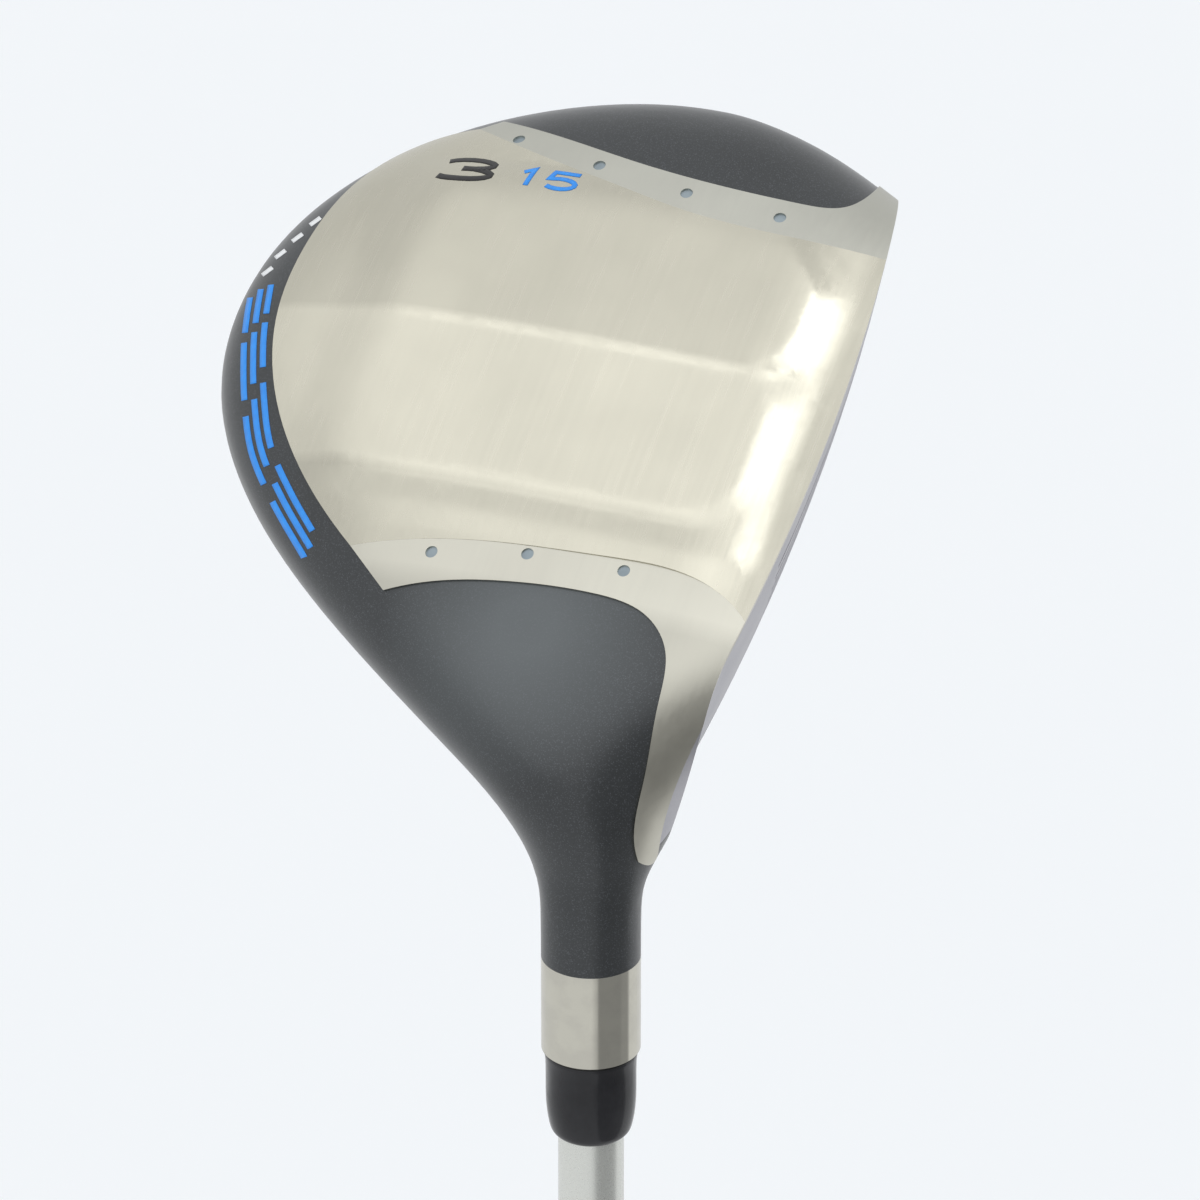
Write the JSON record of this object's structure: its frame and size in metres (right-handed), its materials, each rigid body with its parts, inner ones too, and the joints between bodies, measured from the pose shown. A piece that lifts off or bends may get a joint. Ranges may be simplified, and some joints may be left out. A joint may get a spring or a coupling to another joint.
{
  "type": "fairway wood golf club",
  "caption": "Steel-headed golf club: rounded black head with brushed sole plate, inlaid bands, ferrule, tapered shaft and rubber grip.",
  "frame": {"origin": "centre of the grip cap's flat end, on the shaft axis", "axes": "+Z along the shaft axis from the grip cap towards the head; +X is the way the face points; +Y is the toe's side; the club stands upright on its grip cap"},
  "size_m": [0.0907, 0.1047, 1.1351],
  "materials": {
    "head_paint": "satin black with fine metallic fleck",
    "face_steel": "fine blasted steel",
    "sole_nickel": "brushed warm nickel",
    "band_nickel": "satin nickel",
    "pin_steel": "darkened",
    "damper_gum": "soft amber gum",
    "hosel_steel": "turned steel",
    "plug_plastic": "matte",
    "bond_epoxy": "cured epoxy",
    "ferrule_plastic": "glossy black",
    "shaft_silver": "silver-painted carbon composite, satin",
    "weight_brass": "plain",
    "cork": "cork",
    "tape": "double-sided paper tape",
    "grip_rubber": "moulded black rubber"
  },
  "bodies": {
    "root": {"body_shell": "head_paint", "crown": "head_paint", "face_insert": "face_steel", "sole_plate": "sole_nickel", "toe_band": "band_nickel", "heel_band": "band_nickel", "band_pins": "pin_steel", "sound_damper": "damper_gum", "hosel_tube": "hosel_steel", "bore_plug": "plug_plastic", "hosel_bond": "bond_epoxy", "ferrule": "ferrule_plastic", "shaft": "shaft_silver", "tip_weight": "weight_brass", "shaft_cork": "cork", "grip_tape": "tape", "grip_sleeve": "grip_rubber", "grip_cap": "grip_rubber"}
  },
  "joints": []
}
